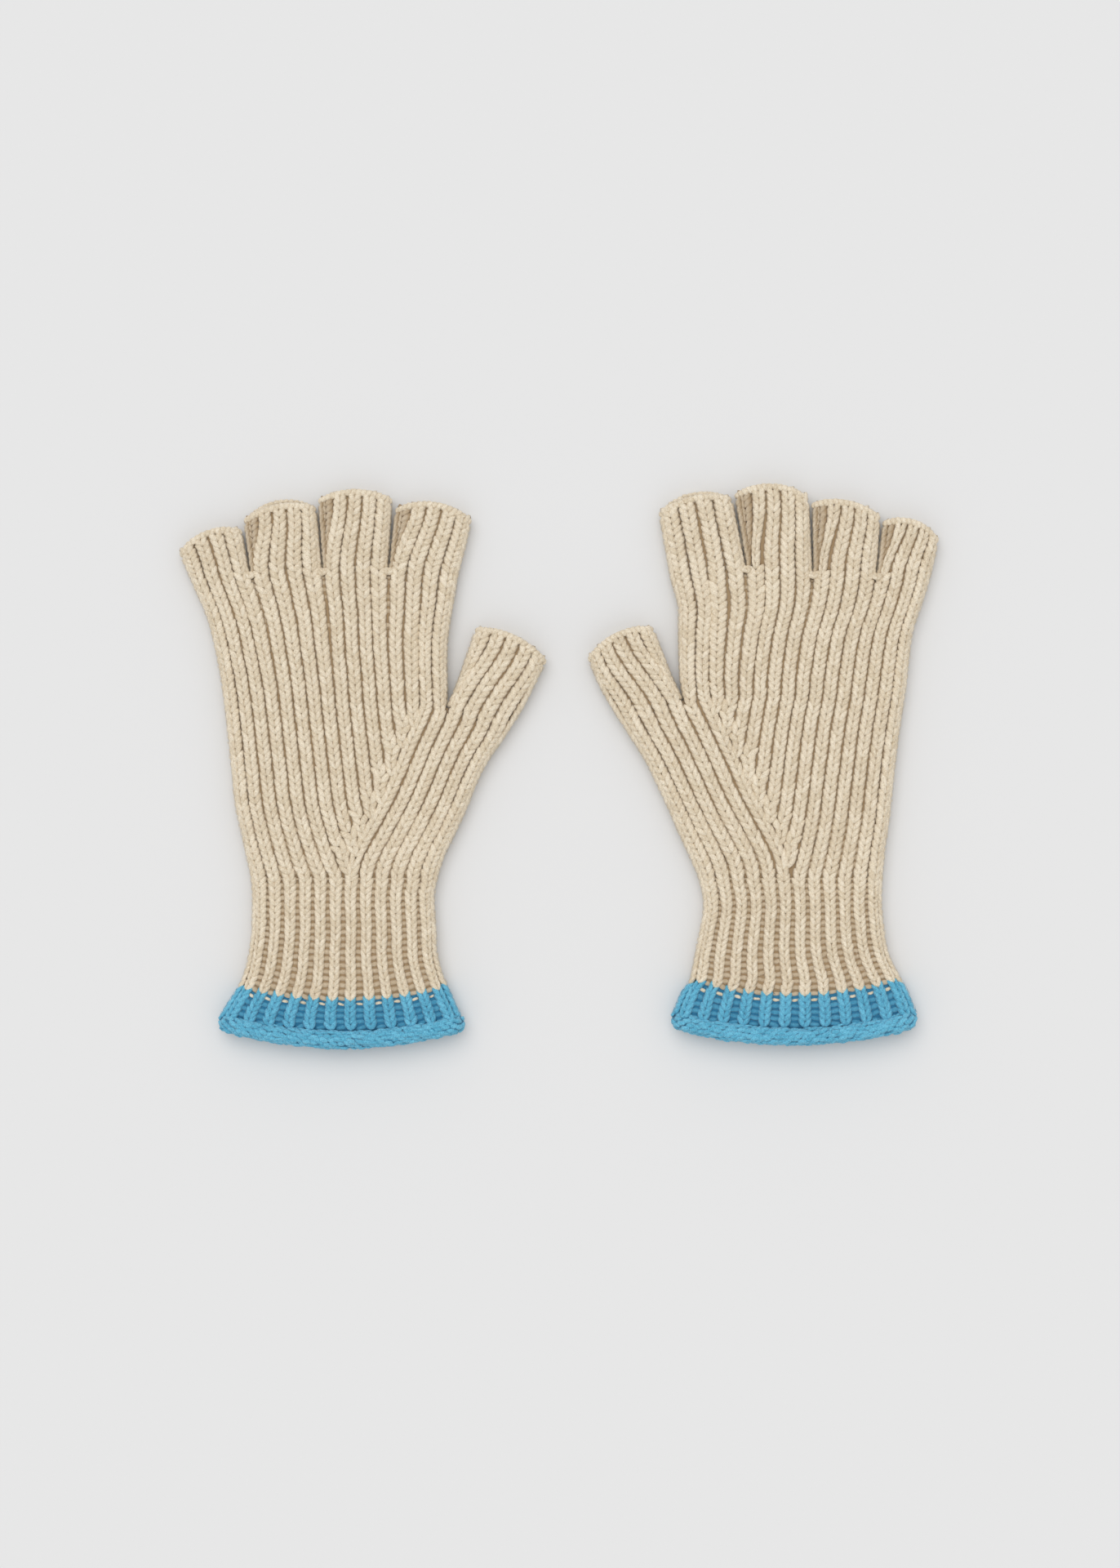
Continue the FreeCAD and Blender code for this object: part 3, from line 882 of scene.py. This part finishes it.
def roll_hem(yarn):
    """The rolled edge: the knitting curls outward into a tube that runs all round the wrist opening."""
    glove = yarn.glove
    radius = 3.75
    a, b = -50.8, 49.6  # u of the roll's two ends
    u = a + (b - a) * (1 - np.cos(np.pi * np.linspace(0, 1, 80))) / 2
    v = glove.arc("hem", u) + radius
    inset = radius * 0.9
    u = np.clip(u, a + inset, b - inset)
    thick = 13.6
    near = np.clip(np.minimum(u - a - inset, b - inset - u) / 5.0, 0, 1)
    half = (thick / 2 - radius) * np.sqrt(1 - (1 - near) ** 2)
    top = np.column_stack([u, v, thick / 2 + half])
    low = np.column_stack([u, v, thick / 2 - half])
    loop = np.vstack([top, low[-2:0:-1], top[:1]])
    keep = np.concatenate([[True], np.diff(lengths(loop)) > 1e-6])
    total, on = closed_loop(loop[keep])

    def axes(t):
        tangent = unit(on(t + 1.5) - on(t - 1.5))
        forward = np.tile([0.0, -1.0, 0.0], (len(t), 1))
        forward = unit(forward - tangent * (tangent * forward).sum(-1, keepdims=True))
        return tangent, forward, np.cross(tangent, forward)

    # The core, one closed tube, coloured nearly all in the painted shade colour, for the shade between the
    # curls.
    count, sides = 150, 12
    t = np.arange(count) / count * total
    tangent, forward, side = axes(t)
    angle = np.arange(sides) * 2 * np.pi / sides
    core = (on(t)[:, None] + (radius - 0.75) * (np.cos(angle)[None, :, None] * forward[:, None]
                                               + np.sin(angle)[None, :, None] * side[:, None]))
    k, j = np.meshgrid(np.arange(count), np.arange(sides), indexing="ij")
    k2, j2 = (k + 1) % count, (j + 1) % sides
    quad = [x.ravel() for x in (k * sides + j, k2 * sides + j, k2 * sides + j2, k * sides + j2)]
    faces = np.vstack([np.stack([quad[0], quad[1], quad[2]], -1), np.stack([quad[0], quad[2], quad[3]], -1)])
    n = count * sides
    yarn.add_mesh("cuff_roll", core.reshape(-1, 3), faces, np.full(n, 0.9), np.full(n, 0.3))

    # Its stitches, in rings round the tube.
    per_ring = 12
    rings = int(round(total / 2.75))
    for ring in range(per_ring):
        t = (np.arange(rings) + 0.5 * (ring % 2)) / rings * total
        tangent, forward, side = axes(t)
        turn = ring / per_ring * 2 * np.pi + rng.normal(0, 0.09, len(t))
        out = np.cos(turn)[:, None] * forward + np.sin(turn)[:, None] * side
        at = on(t) + out * (radius - 0.62 + rng.normal(0, 0.2, len(t))[:, None])
        yarn.add("cuff_roll", CURL, at, np.cross(tangent, out), tangent, out, rough=2.6)


# ---------------------------------------------------------------- materials

def srgb(r, g, b):
    """A colour as it looks on a screen, 0 to 255, as linear light."""
    return [((c / 255 + 0.055) / 1.055) ** 2.4 for c in (r, g, b)] + [1.0]


def wool(name, pale, body, fleck, deep_colour):
    """Marled wool: flecks along the yarn, painted shade towards a darker colour in the hollows, and a soft
    sheen of loose fibres.
    """
    m = bpy.data.materials.new(name)
    m.use_nodes = True
    nodes, links = m.node_tree.nodes, m.node_tree.links
    shader = nodes["Principled BSDF"]
    coords = nodes.new("ShaderNodeTexCoord")
    deep = nodes.new("ShaderNodeAttribute")
    deep.attribute_name = "deep"
    tone = nodes.new("ShaderNodeAttribute")
    tone.attribute_name = "tone"

    def noise(scale, detail):
        n = nodes.new("ShaderNodeTexNoise")
        n.inputs["Scale"].default_value = scale
        n.inputs["Detail"].default_value = detail
        links.new(coords.outputs["Object"], n.inputs["Vector"])
        return n.outputs["Fac"]

    def ramp(source, low, high):
        r = nodes.new("ShaderNodeMapRange")
        r.inputs["From Min"].default_value = low
        r.inputs["From Max"].default_value = high
        links.new(source, r.inputs["Value"])
        return r.outputs["Result"]

    def blend(factor, a, b):
        x = nodes.new("ShaderNodeMix")
        x.data_type = "RGBA"
        links.new(factor, x.inputs["Factor"])
        for socket, value in ((x.inputs[6], a), (x.inputs[7], b)):
            if isinstance(value, list):
                socket.default_value = value
            else:
                links.new(value, socket)
        return x.outputs[2]

    colour = blend(tone.outputs["Fac"], body, pale)
    colour = blend(ramp(noise(2300, 2), 0.40, 0.80), colour, fleck)
    colour = blend(ramp(noise(1500, 1), 0.50, 0.80), colour, pale)
    # Painted shade: the colour goes over to the last, darker colour where the shade attribute is high.
    colour = blend(ramp(deep.outputs["Fac"], 0.45, 1.0), colour, deep_colour)
    links.new(colour, shader.inputs["Base Color"])
    links.new(ramp(noise(600, 2), -1.5, 1.2), shader.inputs["Roughness"])
    shader.inputs["Specular IOR Level"].default_value = 0.15
    shader.inputs["Sheen Weight"].default_value = 0.25
    shader.inputs["Sheen Roughness"].default_value = 0.55
    bump = nodes.new("ShaderNodeBump")
    bump.inputs["Strength"].default_value = 0.8
    bump.inputs["Distance"].default_value = 0.0005
    links.new(noise(3000, 3), bump.inputs["Height"])
    links.new(bump.outputs["Normal"], shader.inputs["Normal"])
    return m


# The last colour of each wool is the painted shade of its hollows and gaps.
beige = wool("beige_wool", srgb(251, 239, 217), srgb(229, 213, 186), srgb(203, 183, 151),
             srgb(168, 143, 110))
blue = wool("blue_wool", srgb(119, 203, 232), srgb(92, 179, 210), srgb(54, 136, 174), srgb(46, 124, 162))

# ---------------------------------------------------------------- pieces round the frame

# How far each bend is spread, in mm before its hinge and after it.
WRIST_BEND = (5.8, 7.0)
DIGIT_BENDS = {"little": (5.3, 3.0), "ring": (5.3, 7.0), "middle": (5.3, 7.0), "index": (5.3, 7.0),
               "thumb": (5.3, 7.0)}


def hinge_blend(obj, joint, spread):
    """Bakes the piece's placement into its mesh. spread is not used."""
    at = np.array(JOINTS[joint]["pos_m"])
    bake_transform(obj)


for side in GLOVES:
    yarn = knit_glove(Glove(side))
    for piece in list(yarn.points):
        node = f"{side}_{piece}"
        is_blue = piece in ("cuff_band", "cuff_roll")
        obj = yarn.build(piece, blue if is_blue else beige)
        digit = piece.split("_")[0]
        if piece == "wrist_rib":
            hinge_blend(obj, f"{side}_wrist_bend", WRIST_BEND)
        elif piece.endswith("_tube"):
            joint = f"{side}_{digit}_bend"
            forward = np.cross([0, 0, 1.0], np.array(JOINTS[joint]["axis"]))
            hinge_blend(obj, joint, DIGIT_BENDS[digit])
        elif piece.endswith("_edge"):
            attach(obj, f"{side}_{digit}")
        elif is_blue:
            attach(obj, f"{side}_cuff")
        else:
            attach(obj, f"{side}_hand")
        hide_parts(node)


# ---------------------------------------------------------------- floor, light and camera

scene = bpy.context.scene
scene.view_settings.view_transform = "Standard"

floor_mesh = bpy.data.meshes.new("floor")
floor_mesh.from_pydata([(-3, -3, 0), (3, -3, 0), (3, 3, 0), (-3, 3, 0)], [], [(0, 1, 2, 3)])
floor = bpy.data.objects.new("floor", floor_mesh)
scene.collection.objects.link(floor)
paper = bpy.data.materials.new("paper")
paper.use_nodes = True
paper_shader = paper.node_tree.nodes["Principled BSDF"]
paper_shader.inputs["Base Color"].default_value = srgb(226, 226, 226)
paper_shader.inputs["Roughness"].default_value = 0.9
paper_shader.inputs["Specular IOR Level"].default_value = 0.1
floor_mesh.materials.append(paper)

world = bpy.data.worlds.new("studio")
world.use_nodes = True
background = world.node_tree.nodes["Background"]
background.inputs["Color"].default_value = (1, 1, 1, 1)
background.inputs["Strength"].default_value = 0.78
scene.world = world

sun_data = bpy.data.lights.new("key", "SUN")
sun_data.energy = 0.95
sun_data.angle = 0.9
sun = bpy.data.objects.new("key", sun_data)
sun.rotation_euler = (-0.42, -0.2, 0)
scene.collection.objects.link(sun)

camera_data = bpy.data.cameras.new("camera")
camera_data.lens = 90
camera_data.sensor_width = 36
camera = bpy.data.objects.new("camera", camera_data)
camera.location = (0.0007, -0.0075, 1.608)
scene.collection.objects.link(camera)
scene.camera = camera
